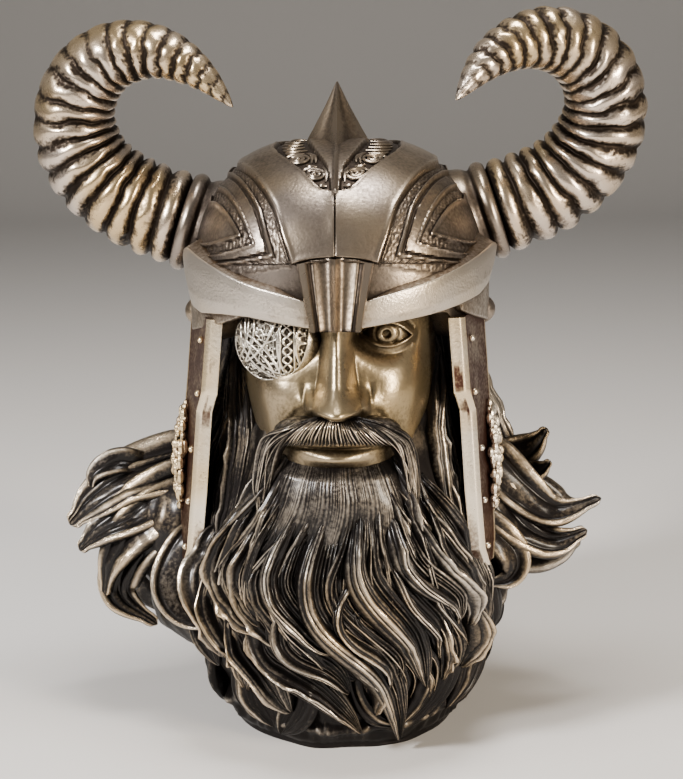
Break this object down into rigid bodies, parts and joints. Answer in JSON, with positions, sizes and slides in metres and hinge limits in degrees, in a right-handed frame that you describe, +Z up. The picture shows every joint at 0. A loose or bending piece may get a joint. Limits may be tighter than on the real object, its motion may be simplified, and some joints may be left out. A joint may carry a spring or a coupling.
{
  "type": "odin bust",
  "caption": "Tabletop bust of a bearded, one-eyed norse god in a helmet with curled, ringed horns, cheek guards and a flat underside.",
  "frame": {"origin": "middle of the flat underside", "axes": "+Z up through the crown, -Y the way the face looks, +X to a viewer's right who faces the bust"},
  "size_m": [0.2061, 0.1331, 0.2472],
  "materials": {
    "antique_metal": "cold-cast bronze and pewter look over resin: near-black patina in the recesses, worn bright on the ridges",
    "horn_metal": "worn pale bronze, near-black in the grooves between the rings"
  },
  "bodies": {
    "root": {"bust": "antique_metal", "horn_right": "horn_metal", "horn_left": "horn_metal"}
  },
  "joints": []
}
